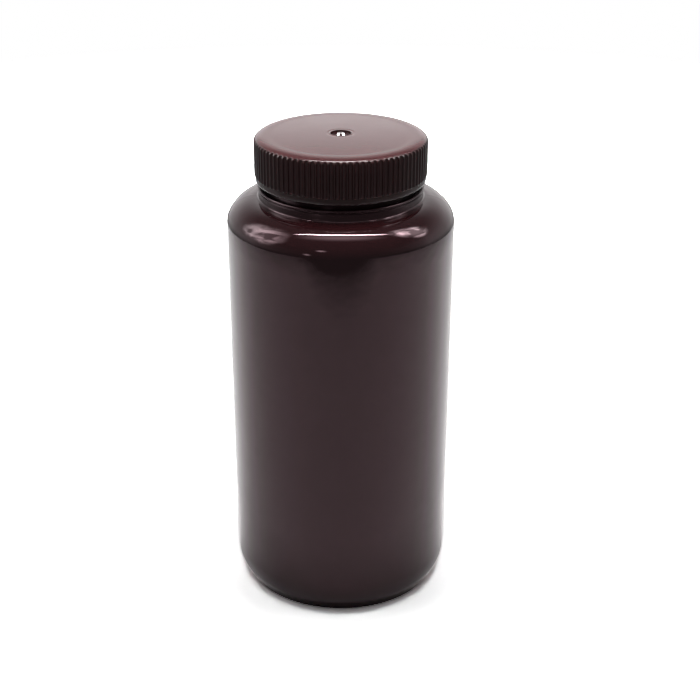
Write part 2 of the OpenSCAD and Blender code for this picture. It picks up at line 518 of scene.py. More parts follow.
@dataclass
class Ring:
    """One ring of points: where it starts in the mesh, and how many it has."""

    start: int
    count: int

    @property
    def points(self) -> tuple[int, ...]:
        """Numbers of its points."""
        return tuple(range(self.start, self.start + self.count))


@dataclass
class RingMesh:
    """Closed skin made of rings around the upright axis, stitched one to the next."""

    points: list[Triple] = field(default_factory=list)
    faces: list[tuple[int, ...]] = field(default_factory=list)

    def add_ring(self, radii: np.ndarray, heights: np.ndarray, angles: np.ndarray) -> Ring:
        """Adds the points of one ring.

        Args:
            radii: Radius of each point.
            heights: Height of each point.
            angles: Angle of each point, in radians.

        Returns:
            The ring.
        """
        ring = Ring(len(self.points), len(angles))
        xs = radii * np.cos(angles) * MM
        ys = radii * np.sin(angles) * MM
        self.points.extend(zip(xs.tolist(), ys.tolist(), (heights * MM).tolist()))
        return ring

    def level_ring(self, radii: np.ndarray, height: float, angles: np.ndarray) -> Ring:
        """Adds a ring whose points are all at one height."""
        return self.add_ring(radii, np.full(len(angles), height), angles)

    def stitch_all(self, rings: Sequence[Ring]) -> None:
        """Fills the bands between rings that follow one another."""
        for first, second in zip(rings, rings[1:]):
            self.stitch(first, second)

    def stitch(self, first: Ring, second: Ring) -> None:
        """Fills the band between two rings, whose counts divide one another.

        Args:
            first: Ring that comes first along the outline.
            second: Ring that comes next.
        """
        few, many, flip = first, second, False
        if first.count > second.count:
            few, many, flip = second, first, True
        share = many.count // few.count
        for i in range(few.count):
            a = few.start + i
            b = few.start + (i + 1) % few.count
            fan = [many.start + (i * share + k) % many.count for k in range(share + 1)]
            if share == 1:
                self.add_face((a, b, fan[1], fan[0]), flip)
                continue
            half = share // 2
            for k in range(share):
                corner = a if k < half else b
                self.add_face((corner, fan[k + 1], fan[k]), flip)
            self.add_face((a, b, fan[half]), flip)

    def add_face(self, corners: tuple[int, ...], flip: bool) -> None:
        """Adds one face, turned over if asked."""
        self.faces.append(corners[::-1] if flip else corners)

    def close(self, ring: Ring, height: float, last: bool) -> None:
        """Closes the skin on the axis.

        Args:
            ring: Ring next to the axis.
            height: Height of the point on the axis.
            last: True at the end of the outline, False at its start.
        """
        tip = len(self.points)
        self.points.append((0.0, 0.0, height * MM))
        for i in range(ring.count):
            a = ring.start + i
            b = ring.start + (i + 1) % ring.count
            self.add_face((a, b, tip), not last)

    def sweep(self, outline: Outline, angles: np.ndarray, push: Push | None = None) -> list[Ring]:
        """Turns an outline round the axis.

        Args:
            outline: Points of the half plane, in order.
            angles: Angles of the columns, in radians.
            push: Gives the outward move at radii, heights and angles, all in one array each.

        Returns:
            The rings, in the outline's order.
        """
        rings = []
        for radius, height in outline:
            radii = np.full(len(angles), radius)
            heights = np.full(len(angles), height)
            if push is not None:
                radii = radii + push(radii, heights, angles)
            rings.append(self.add_ring(radii, heights, angles))
        self.stitch_all(rings)
        return rings

    def build(self, name: str, finish: Finish) -> bpy.types.Object:
        """Makes the object.

        Args:
            name: Name of the piece.
            finish: Finish of its skin.

        Returns:
            The object, dressed, linked to the scene and shaded smooth.
        """
        mesh = bpy.data.meshes.new(name)
        mesh.from_pydata(self.points, [], self.faces)
        mesh.update()
        mesh.shade_smooth()
        mesh.set_sharp_from_angle(angle=math.radians(SHARP_DEG))
        mesh.materials.append(finish.build())
        piece = bpy.data.objects.new(name, mesh)
        bpy.context.scene.collection.objects.link(piece)
        return piece


def columns(count: int) -> np.ndarray:
    """Returns evenly spaced angles round the axis, the first at -Y."""
    return -math.pi / 2 + np.arange(count) * 2 * math.pi / count


@dataclass(frozen=True)
class ThreadRidge:
    """Single-start ridge of a right-hand thread.

    Attributes:
        start_z: Height of its lower end.
        start_deg: Angle of its lower end.
        pitch: Rise in one turn.
        turns: Number of turns.
        height: How far it stands out.
        base: Width at its wall.
        crest: Width along its crest.
        fade_deg: Turn over which each end fades out.
    """

    start_z: float
    start_deg: float
    pitch: float = INCH_MM / THREADS_PER_INCH
    turns: float = 1.5
    height: float = 1.15
    base: float = 2.2
    crest: float = 0.9
    fade_deg: float = 40.0

    def lift(self, heights: np.ndarray, angles: np.ndarray) -> np.ndarray:
        """Finds how far the ridge stands out of its wall.

        Args:
            heights: Heights of the points.
            angles: Angles of the points, in radians.

        Returns:
            The height of the ridge at each point.
        """
        result = np.zeros(len(angles))
        turned = (np.degrees(angles) - self.start_deg) % 360
        for lap in range(math.ceil(self.turns)):
            along = turned + 360 * lap
            inside = along <= self.turns * 360
            off = np.abs(heights - self.start_z - along / 360 * self.pitch)
            flank = eased((self.base / 2 - off) / ((self.base - self.crest) / 2))
            fade = eased(np.minimum(along, self.turns * 360 - along) / self.fade_deg)
            result = np.maximum(result, np.where(inside, flank * fade * self.height, 0))
        return result


# ---------------------------------------------------------------- the bottle


@dataclass(frozen=True)
class SlowWaves:
    """Slow waves of a blown skin, deeper around the shoulder.

    Attributes:
        depth: Greatest depth of a wave, before the shares.
        wall_share: Share of the depth all over the wall.
        shoulder_share: Share that comes on top at the shoulder.
        shoulder_z: Height of the shoulder.
        shoulder_reach: How far the deeper waves reach up and down from there.
        start_z: Height at which the waves start.
        start_run: Run from there to their full depth.
        length: Length of a wave along each axis.
        place: Picks one of the many patterns of waves.
    """

    depth: float = 0.22
    wall_share: float = 0.35
    shoulder_share: float = 0.9
    shoulder_z: float = 166.0
    shoulder_reach: float = 8.0
    start_z: float = 2.5
    start_run: float = 12.0
    length: Triple = (17.0, 17.0, 15.0)
    place: Triple = (3.1, 1.7, 0.4)

    def sink(self, xs: np.ndarray, ys: np.ndarray, height: float) -> np.ndarray:
        """Finds how far the waves take the skin inwards along one ring.

        Args:
            xs: Places of the points along X.
            ys: Places of the points along Y.
            height: Height of the ring.

        Returns:
            The distance inwards at each point.
        """
        rise = min(1.0, (height - self.start_z) / self.start_run)
        on_shoulder = math.exp(-((height - self.shoulder_z) / self.shoulder_reach) ** 2)
        depth = self.depth * (self.wall_share + self.shoulder_share * on_shoulder) * rise
        waves = np.array([
            noise.noise(Vector([
                c / length + start
                for c, length, start in zip((x, y, height), self.length, self.place)]))
            for x, y in zip(xs, ys)])
        return depth * (0.5 + 0.5 * waves)


@dataclass
class Bottle:
    """Blow-moulded body with its threaded neck.

    Attributes are sizes in millimetres, as the solid has them.
    """

    radius: float = 46.0
    height: float = 170.9
    wall: float = 1.5
    crown: Crown = Crown(12.2, 10.3, 8.0)
    collar_fillet: float = 0.8
    heel_height: float = 13.3
    heel_radius: float = 22.7
    foot_radius: float = 2.0
    foot_inside: float = 0.5
    stand_width: float = 5.5
    push_up: float = 3.0
    # Weld line across the push-up, where the two halves of the mould pinched the tube
    pinch_length: float = 44.0
    pinch_width: float = 1.2
    pinch_height: float = 0.35
    # Share of its width at its ends, share of its height there, and how fast it grows
    pinch_tip: float = 0.35
    pinch_least: float = 0.02
    pinch_growth: float = 6.0
    neck_radius: float = 30.1
    neck_height: float = 22.5
    neck_wall: float = 2.4
    collar_step: float = 2.9
    collar_height: float = 3.1
    collar_edge: float = 0.15
    groove_height: float = 0.4
    groove_depth: float = 0.35
    bead_step: float = 3.3
    bead_height: float = 1.2
    lip_radius: float = 0.6
    throat_radius: float = 2.0
    thread: ThreadRidge = ThreadRidge(184.45, 0.0)
    # Height above the shoulder from which the thread may stand out
    thread_above: float = 5.0
    segments: int = 288
    waves: SlowWaves = SlowWaves()
    parting_height: float = 0.07
    parting_width: float = 0.5
    # Distance from the collar at which the waves and the parting line end
    collar_gap: float = 0.9

    @property
    def mouth_z(self) -> float:
        """Height of the mouth."""
        return self.height + self.neck_height

    @property
    def heel_centre(self) -> float:
        """Radius at which the long heel curve is centred."""
        return self.radius - self.heel_radius

    @property
    def foot(self) -> float:
        """Radius at which the tight curve of the foot is centred."""
        return self.heel_centre + self.heel_meeting(0.0, self.foot_radius)[0]

    def heel_meeting(self, inset: float, tight: float) -> Point:
        """Finds where the two heel curves meet.

        Args:
            inset: Distance inwards from the outside of the wall.
            tight: Radius of the tight curve there.

        Returns:
            Outward run between the two centres, and the angle of the meeting in degrees.
        """
        rise = self.heel_height - inset - tight
        run = math.sqrt((self.heel_radius - inset - tight) ** 2 - rise * rise)
        return run, -math.degrees(math.atan2(rise, run))

    def dome_height(self, radius: float) -> float:
        """Finds the height of the push-up.

        Args:
            radius: Distance from the axis.

        Returns:
            Height above the flat ring, below zero outside the push-up.
        """
        edge = self.foot - self.stand_width
        dome = (edge ** 2 + self.push_up ** 2) / (2 * self.push_up)
        return self.push_up - dome + math.sqrt(dome ** 2 - radius ** 2)

    def base_outline(self, lift: float, reach: float) -> Outline:
        """Lists points along the push-up from the axis outwards.

        Args:
            lift: Height of the flat ring below the dome.
            reach: Radius of the last point.

        Returns:
            Points of the dome, without the one on the axis.
        """
        return [(r, lift + max(0.0, self.dome_height(r)))
                for r, _ in line((0.0, 0.0), (reach, 0.0), 26)[1:]]

    def outside(self) -> Outline:
        """Lists the outline outside.

        Returns:
            Points from the middle of the base to the mouth.
        """
        _, meet = self.heel_meeting(0.0, self.foot_radius)
        collar = self.neck_radius + self.collar_step
        groove_z = self.height + self.collar_height
        bead_z = groove_z + self.groove_height
        bead_r = self.neck_radius + self.bead_step
        half_bead = self.bead_height / 2
        edge = self.collar_edge
        inner = collar - self.groove_depth
        return joined(
            self.base_outline(0.0, self.foot - self.stand_width),
            line((self.foot - self.stand_width, 0.0), (self.foot, 0.0), 3),
            arc((self.foot, self.foot_radius), self.foot_radius, -90, meet, 8),
            arc((self.heel_centre, self.heel_height), self.heel_radius, meet, 0, 22),
            line((self.radius, self.heel_height),
                 (self.radius, self.height - self.crown.height), 60),
            self.crown.outline(self.radius, self.height, 22),
            arc((collar + self.collar_fillet, self.height + self.collar_fillet),
                self.collar_fillet, 270, 180, 6),
            arc((collar - edge, groove_z - edge), edge, 0, 90, 3),
            [(inner, groove_z), (inner, bead_z)],
            arc((bead_r - half_bead, bead_z + half_bead), half_bead, -90, 90, 14),
            line((self.neck_radius, bead_z + self.bead_height),
                 (self.neck_radius, self.mouth_z - self.lip_radius), 110),
            arc((self.neck_radius - self.lip_radius, self.mouth_z - self.lip_radius),
                self.lip_radius, 0, 90, 6),
        )

    def inside(self) -> Outline:
        """Lists the outline inside.

        Returns:
            Points from the mouth to the middle of the floor.
        """
        mouth = self.neck_radius - self.neck_wall
        ceiling = self.height - self.wall
        run, meet = self.heel_meeting(self.wall, self.foot_inside)
        foot = self.heel_centre + run
        throat = (mouth + self.throat_radius, ceiling + self.throat_radius)
        return joined(
            arc((mouth + self.lip_radius, self.mouth_z - self.lip_radius),
                self.lip_radius, 90, 180, 6),
            line((mouth, self.mouth_z - self.lip_radius), (mouth, throat[1]), 8),
            arc(throat, self.throat_radius, 180, 270, 8),
            self.crown.outline(self.radius, self.height, 12, self.wall)[::-1],
            line((self.radius - self.wall, self.height - self.crown.height),
                 (self.radius - self.wall, self.heel_height), 20),
            arc((self.heel_centre, self.heel_height), self.heel_radius - self.wall,
                0, meet, 10),
            arc((foot, self.wall + self.foot_inside), self.foot_inside, meet, -90, 4),
            self.base_outline(self.wall, foot)[::-1],
        )

    def skin_push(self, radii: np.ndarray, heights: np.ndarray, angles: np.ndarray) -> np.ndarray:
        """Gives the blown skin its slow waves, its parting line and the thread.

        Args:
            radii: Radii of the points of a ring.
            heights: Their heights.
            angles: Their angles, in radians.

        Returns:
            The outward move of each point, never past the solid outside the thread.
        """
        radius, height = float(radii[0]), float(heights[0])
        if height > self.height + self.thread_above:
            return self.thread.lift(heights, angles)
        collar = self.neck_radius + self.collar_step
        if radius < collar + self.collar_gap or height < self.waves.start_z:
            return np.zeros(len(angles))
        xs, ys = radii * np.cos(angles), radii * np.sin(angles)
        ridge = np.exp(-(ys / self.parting_width) ** 2) * self.parting_height
        return ridge - self.parting_height - self.waves.sink(xs, ys, height)

    def pinch_line(self, skin: RingMesh) -> None:
        """Adds the weld line across the push-up.

        Args:
            skin: Mesh that takes it.
        """
        steps, sides = 36, 8
        rows: list[Ring] = []
        for i in range(steps + 1):
            x = self.pinch_length * (i / steps - 0.5)
            to_end = 1 - abs(2 * i / steps - 1)
            fade = min(1.0, self.pinch_growth * to_end + self.pinch_least)
            half = self.pinch_width / 2 * (self.pinch_tip + (1 - self.pinch_tip) * fade)
            rows.append(Ring(len(skin.points), sides))
            for j in range(sides):
                turn = math.tau * j / sides
                y = half * math.cos(turn)
                z = self.dome_height(x) - self.pinch_height * math.sin(turn) * fade
                skin.points.append((x * MM, y * MM, z * MM))
        skin.stitch_all(rows)
        skin.faces.append(rows[0].points[::-1])
        skin.faces.append(rows[-1].points)

    def build(self, finish: Finish) -> bpy.types.Object:
        """Makes and dresses the bottle.

        Args:
            finish: Finish of the wall.

        Returns:
            The piece.
        """
        angles = columns(self.segments)
        skin = RingMesh()
        outer = skin.sweep(self.outside(), angles, self.skin_push)
        inner = skin.sweep(self.inside(), angles)
        skin.stitch(outer[-1], inner[0])
        skin.close(outer[0], self.push_up, last=False)
        skin.close(inner[-1], self.wall + self.push_up, last=True)
        self.pinch_line(skin)
        return skin.build("bottle_body", finish)


# ---------------------------------------------------------------- the cap


@dataclass
class ScrewCap:
    """Ribbed screw cap with a moulding gate in the middle of its top.

    Attributes are sizes in millimetres, as the solid has them.
    """

    rim_z: float = 177.9
    grip_z: float = 180.5
    ceiling_z: float = 194.4
    top_z: float = 196.4
    bore: float = 31.75
    band: float = 34.1
    radius: float = 34.5
    crown: Crown = Crown(3.2, 2.1, 1.3)
    rim_radius: float = 0.5
    flute_count: int = 90
    flute_radius: float = 0.86
    crest_round: float = 0.14
    # Rise above the ledge and share of the way out to the ribs, from the band outwards
    ledge: tuple[Point, ...] = ((0, .45), (0, .8), (.04, .93), (.1, .985), (.18, 1.0))
    dimple_radius: float = 4.2
    dimple_depth: float = 1.0
    dimple_wall: float = 0.16
    # Radius, half width and depth of the shallow sink ring around the dimple
    sink_ring: Triple = (5.05, 0.45, 0.07)
    # Distance from the dimple within which the rings of the mesh are closer
    sink_reach: float = 2.2
    gate_radius: float = 1.45
    gate_height: float = 0.9
    gate_round: float = 0.3
    # Slant of the cut across the stub, and its height on the axis above the dimple's floor
    cut_slope: float = 0.748
    cut_height: float = 0.74
    # Place, radius and depth of the pit in the cut
    pit: Triple = (-0.6, 0.3, 0.3)
    panel_dome: float = 0.6
    # Reach of the easing between crown and panel, outwards and inwards
    ease_out: float = 0.6
    ease_in: float = 4.0
    ceiling_edge: float = 0.2
    catch_z: float = 192.8
    catch_radius: float = 0.6
    thread: ThreadRidge = ThreadRidge(180.8, -185.6)
    # Places of the columns across one rib, from crest to crest, closest at its edges
    rib_columns: tuple[float, ...] = (0, .07, .12, .15, .19, .3, .5, .7, .81, .85, .88, .93)

    @property
    def flat_radius(self) -> float:
        """Radius at which the crown would end flat."""
        return self.radius - self.crown.width

    @property
    def ease_from(self) -> float:
        """Radius at which the crown starts to ease into the panel."""
        return self.flat_radius + self.ease_out

    def fine_angles(self) -> np.ndarray:
        """Lists the columns that follow the ribs.

        Returns:
            Their angles, in radians.
        """
        step = math.tau / self.flute_count
        return np.array([-math.pi / 2 + (i + share) * step
                         for i in range(self.flute_count) for share in self.rib_columns])

    def flute_reach(self, angles: np.ndarray) -> np.ndarray:
        """Finds where the flutes leave the skirt at each angle.

        Args:
            angles: Angles of the columns, in radians.

        Returns:
            Radius of the near side of the flute, or a large one between the flutes.
        """
        step = math.tau / self.flute_count
        off = (angles + math.pi / 2) % step - step / 2
        across = self.radius * np.sin(off)
        inside = np.clip(self.flute_radius ** 2 - across ** 2, 0, None)
        reach = self.radius * np.cos(off) - np.sqrt(inside)
        return np.where(inside > 0, reach, self.radius + 1.0)

    def ribbed(self, radius: float, angles: np.ndarray) -> np.ndarray:
        """Blends the skirt's radius with the flutes, rounding the crests.

        Args:
            radius: Radius of the skirt at one height.
            angles: Angles of the columns, in radians.

        Returns:
            Radius at each column.
        """
        reach = self.flute_reach(angles)
        gap = np.clip(self.crest_round - np.abs(reach - radius), 0, None)
        return np.minimum(reach, radius) - gap ** 2 / (4 * self.crest_round)

    def grip_rings(self, skin: RingMesh, angles: np.ndarray) -> list[Ring]:
        """Makes the outside, from the rim to the edge of the top panel.

        Args:
            skin: Mesh that takes the rings.
            angles: Angles of the columns, in radians.

        Returns:
            The rings, from the rim upwards, stitched together.
        """
        rings = []
        rim = arc((self.band - self.rim_radius, self.rim_z + self.rim_radius),
                  self.rim_radius, -90, 0, 6)
        for radius, height in joined(rim, line(rim[-1], (self.band, self.grip_z), 4)):
            rings.append(skin.level_ring(np.full(len(angles), radius), height, angles))
        full = self.ribbed(self.radius, angles)
        for up, share in self.ledge:
            radii = self.band + (full - self.band) * share
            rings.append(skin.level_ring(radii, self.grip_z + up, angles))
        edge_z = self.top_z - self.panel_dome
        wall = line((self.radius, self.grip_z + 2 * self.ledge[-1][0]),
                    (self.radius, edge_z - self.crown.height), 6)
        crown = [p for p in self.crown.outline(self.radius, edge_z, 14) if p[0] > self.ease_from]
        for radius, height in joined(wall, crown):
            rings.append(skin.level_ring(self.ribbed(radius, angles), height, angles))
        skin.stitch_all(rings)
        return rings

    def drop(self, radius: float) -> float:
        """Gives how far the slightly domed panel lies below its middle at a radius."""
        return self.panel_dome * (radius / self.flat_radius) ** 2

    def panel_height(self, radius: float) -> float:
        """Finds the height of the panel, with the dimple and the gate's stub in it.

        Args:
            radius: Distance from the axis.

        Returns:
            The height there.
        """
        middle, half, depth = self.sink_ring
        sink = depth * math.exp(-((radius - middle) / half) ** 2)
        wall = eased((self.dimple_radius - radius) / self.dimple_wall)
        floor = self.top_z - self.dimple_depth * wall - sink
        stub = eased((self.gate_radius + self.gate_round - radius) / self.gate_round)
        return floor + self.gate_height * stub - self.drop(radius)

    def cut_gate(self, skin: RingMesh, rings: Sequence[Ring]) -> None:
        """Shears the gate's stub off at a slant, with a small pit in the cut.

        Args:
            skin: Mesh that has the panel, and the panel's tip as its last point.
            rings: Rings of the panel.
        """
        floor = self.top_z - self.dimple_depth
        place, radius, depth = self.pit
        tip = len(skin.points) - 1
        places = [i for ring in rings for i in ring.points]
        for i in [*places, tip]:
            x, y, z = (c / MM for c in skin.points[i])
            if math.hypot(x, y) < self.gate_radius + self.gate_round:
                hollow = depth * math.exp(-(x * x + (y - place) ** 2) / radius ** 2)
                cut = floor + max(self.cut_height + self.cut_slope * y - hollow, 0.0)
                skin.points[i] = (x * MM, y * MM, min(z, cut) * MM)

    def edge_ease(self) -> Outline:
        """Lists the curve that eases the crown into the panel.

        Returns:
            Points of the curve from its outer end, which is left out, inwards.
        """
        steps = 12
        turn = math.asin(self.ease_out / self.crown.second)
        inner_r = self.flat_radius - self.ease_in
        outer_z = self.top_z - self.panel_dome - self.crown.second * (1 - math.cos(turn))
        inner_z = self.top_z - self.drop(inner_r)
        run = self.ease_out + self.ease_in
        outer_rise = math.tan(turn) * run
        inner_rise = 2 * self.panel_dome * inner_r / self.flat_radius ** 2 * run
        points = []
        for t in (i / steps for i in range(1, steps + 1)):
            height = (outer_z * (1 - eased(t)) + inner_z * eased(t)
                      + outer_rise * t * (1 - t) ** 2 - inner_rise * t * t * (1 - t))
            points.append((self.ease_from - run * t, height))
        return points

    def panel_outline(self) -> Outline:
        """Lists the top panel, closest at the dimple's edge.

        Returns:
            Points from the edge of the panel to the middle, without the one on the axis.
        """
        ease = self.edge_ease()
        near = self.dimple_radius + self.sink_reach
        foot = self.dimple_radius - self.dimple_wall
        step = 0.02
        runs = ((ease[-1][0], near, 16), (near, self.dimple_radius + step, 24),
                (self.dimple_radius, foot, 12), (foot - step, 2 * step, 48))
        radii = [start + (end - start) * i / steps
                 for start, end, steps in runs for i in range(steps + 1)]
        return joined(ease, [(r, self.panel_height(r)) for r in radii])

    def bore_outline(self) -> Outline:
        """Lists the inside.

        Returns:
            Points from the middle of the ceiling outwards, and down the bore to the rim.
        """
        foot = (self.bore, self.rim_z + self.rim_radius)
        return joined(
            line((1.0, self.ceiling_z), (self.bore - self.ceiling_edge, self.ceiling_z), 6),
            [(self.bore, self.ceiling_z - self.ceiling_edge)],
            arc((self.bore, self.catch_z), self.catch_radius, 90, 270, 12),
            line((self.bore, self.catch_z - self.catch_radius), foot, 70),
            arc((self.bore + self.rim_radius, foot[1]), self.rim_radius, 180, 270, 6),
        )

    def bore_push(self, radii: np.ndarray, heights: np.ndarray, angles: np.ndarray) -> np.ndarray:
        """Raises the thread inwards from the bore.

        Args:
            radii: Radii of the points of a ring.
            heights: Their heights.
            angles: Their angles, in radians.

        Returns:
            The outward move of each point, below zero on the ridge.
        """
        if not math.isclose(radii[0], self.bore) or heights[0] > self.catch_z:
            return np.zeros(len(angles))
        return -self.thread.lift(heights, angles)

    def build(self, finish: Finish) -> bpy.types.Object:
        """Makes and dresses the cap.

        Args:
            finish: Finish of the cap.

        Returns:
            The piece.
        """
        skin = RingMesh()
        coarse = columns(2 * self.flute_count)
        bore = skin.sweep(self.bore_outline(), coarse, self.bore_push)
        grip = self.grip_rings(skin, self.fine_angles())
        panel = skin.sweep(self.panel_outline(), coarse)
        skin.stitch(bore[-1], grip[0])
        skin.stitch(grip[-1], panel[0])
        skin.close(bore[0], self.ceiling_z, last=False)
        skin.close(panel[-1], self.panel_height(0.0), last=True)
        self.cut_gate(skin, panel)
        return skin.build("screw_cap_shell", finish)


@dataclass
class SealingDisc:
    """Foamed disc that seals the mouth.

    Attributes are sizes in millimetres, as the solid has them.
    """

    radius: float = 31.4
    bottom_z: float = 193.4
    thickness: float = 1.0
    edge: float = 0.15
    # Middle, half width and depth of the print that the mouth has left
    seal_radius: float = 28.9
    seal_half: float = 1.4
    seal_depth: float = 0.07
    segments: int = 144

    def print_depth(self, radius: float) -> float:
        """Gives the depth of the mouth's print at a radius."""
        off = abs(radius - self.seal_radius) / self.seal_half
        return self.seal_depth * max(0.0, 1 - off ** 4)

    def outline(self) -> Outline:
        """Lists the outline.

        Returns:
            Points from the middle of the lower face round to that of the upper one.
        """
        top = self.bottom_z + self.thickness
        face = line((1.0, self.bottom_z), (self.radius - self.edge, self.bottom_z), 110)
        return joined(
            [(r, z + self.print_depth(r)) for r, z in face],
            arc((self.radius - self.edge, self.bottom_z + self.edge), self.edge, -90, 0, 3),
            arc((self.radius - self.edge, top - self.edge), self.edge, 0, 90, 3),
            line((self.radius - self.edge, top), (1.0, top), 4),
        )

    def build(self, finish: Finish) -> bpy.types.Object:
        """Makes and dresses the disc.

        Args:
            finish: Finish of the foam.

        Returns:
            The piece.
        """
        skin = RingMesh()
        rings = skin.sweep(self.outline(), columns(self.segments))
        skin.close(rings[0], self.bottom_z, last=False)
        skin.close(rings[-1], self.bottom_z + self.thickness, last=True)
        return skin.build("sealing_disc", finish)


# ---------------------------------------------------------------- the studio


class Role(Enum):
    """What a softbox does: throws light, is mirrored, or both."""

    LIGHT = "light"
    CARD = "card"
    BOTH = "both"


@dataclass(frozen=True)
class Softbox:
    """Lamp behind white cloth. Lengths are metres.

    Attributes:
        name: Name of the lamp.
        at: Where it hangs.
        size: Width and depth of the cloth.
        radiance: Brightness of the cloth where it is brightest, where 1 is white.
        role: Whether it throws light, is mirrored, or both.
        turn: Turn about the line to the bottle, in degrees.
        clear: Share of the way to the edge over which the cloth is evenly bright.
        folds: Number of folds across the cloth, or 0 for a smooth one.
        fold_place: Picks one of the many patterns of folds.
        fold_levels: Part of the pattern that turns from fold to cloth, and the share of
            the brightness at its two ends.
    """

    name: str
    at: Triple
    size: Point
    radiance: float
    role: Role
    turn: float = 0.0
    clear: float = 0.0
    folds: float = 0.0
    fold_place: float = 0.0
    fold_levels: Span = (0.42, 0.60, 0.12, 1.0)

    def dress(self, lamp: bpy.types.Light) -> None:
        """Makes the cloth fade towards its edge, and darker in its folds.

        Args:
            lamp: Lamp behind the cloth.
        """
        tree = blank_tree(lamp)
        place = add_node(tree, "NewGeometry").outputs["Parametric"]
        centred = add_node(tree, "VectorMath", {"operation": "MULTIPLY_ADD"},
                           (place, (2.0, 2.0, 0.0), (-1.0, -1.0, 0.0)))
        reach = add_node(tree, "VectorMath", {"operation": "LENGTH"},
                         (centred,)).outputs["Value"]
        level = add_node(tree, "MapRange", {"interpolation_type": "SMOOTHSTEP"},
                         (reach, self.clear, 1.0, 1.0, 0.0))
        if self.folds:
            folds = add_node(tree, "TexNoise", {"noise_dimensions": "4D"}, {
                "Vector": place, "W": self.fold_place, "Scale": self.folds, "Detail": 2.0,
                "Distortion": 0.8})
            depth = add_node(tree, "MapRange", inputs=(folds, *self.fold_levels))
            level = add_node(tree, "Math", {"operation": "MULTIPLY"}, (level, depth))
        glow = add_node(tree, "Emission", inputs={"Strength": level})
        add_node(tree, "OutputLight", inputs=(glow,))

    def hang(self, target: Vector) -> None:
        """Makes the lamp and turns it to face a target.

        Args:
            target: Where it faces.
        """
        lamp = bpy.data.lights.new(self.name, "AREA")
        lamp.shape = "RECTANGLE"
        lamp.size, lamp.size_y = self.size
        lamp.energy = self.radiance * math.pi * self.size[0] * self.size[1]
        self.dress(lamp)
        holder = bpy.data.objects.new(self.name, lamp)
        aim = (target - Vector(self.at)).to_track_quat("-Z", "Y").to_matrix().to_4x4()
        spin = Matrix.Rotation(math.radians(self.turn), 4, "Z")
        holder.matrix_world = Matrix.Translation(self.at) @ aim @ spin
        holder.visible_camera = False
        holder.visible_diffuse = self.role is not Role.CARD
        holder.visible_glossy = self.role is not Role.LIGHT
        bpy.context.scene.collection.objects.link(holder)


SOFTBOXES = (
    Softbox("strip", (0.0, 0.0, 1.35), (1.36, 0.065), 90.0, Role.CARD, clear=0.7),
    Softbox("overhead", (0.0, 0.0, 1.35), (1.20, 0.40), 17.0, Role.LIGHT, clear=0.7),
    Softbox("halo", (0.0, -0.24, 1.33), (1.60, 0.60), 2.6, Role.BOTH),
    Softbox("left", (-0.84, 0.06, 0.64), (1.00, 1.30), 8.0, Role.CARD,
            turn=12.0, clear=0.2, folds=3.6),
    Softbox("right", (0.70, 0.11, 0.84), (0.50, 0.82), 24.0, Role.CARD,
            clear=0.2, folds=2.8, fold_place=2.0),
    Softbox("back", (0.0, 1.90, 0.62), (1.30, 0.50), 0.8, Role.CARD),
    Softbox("pane_high", (-0.25, -0.71, 0.50), (0.17, 0.15), 5.0, Role.CARD, turn=25.0),
    Softbox("pane_low", (-0.44, -0.72, 0.17), (0.15, 0.16), 4.0, Role.CARD, turn=25.0),
)


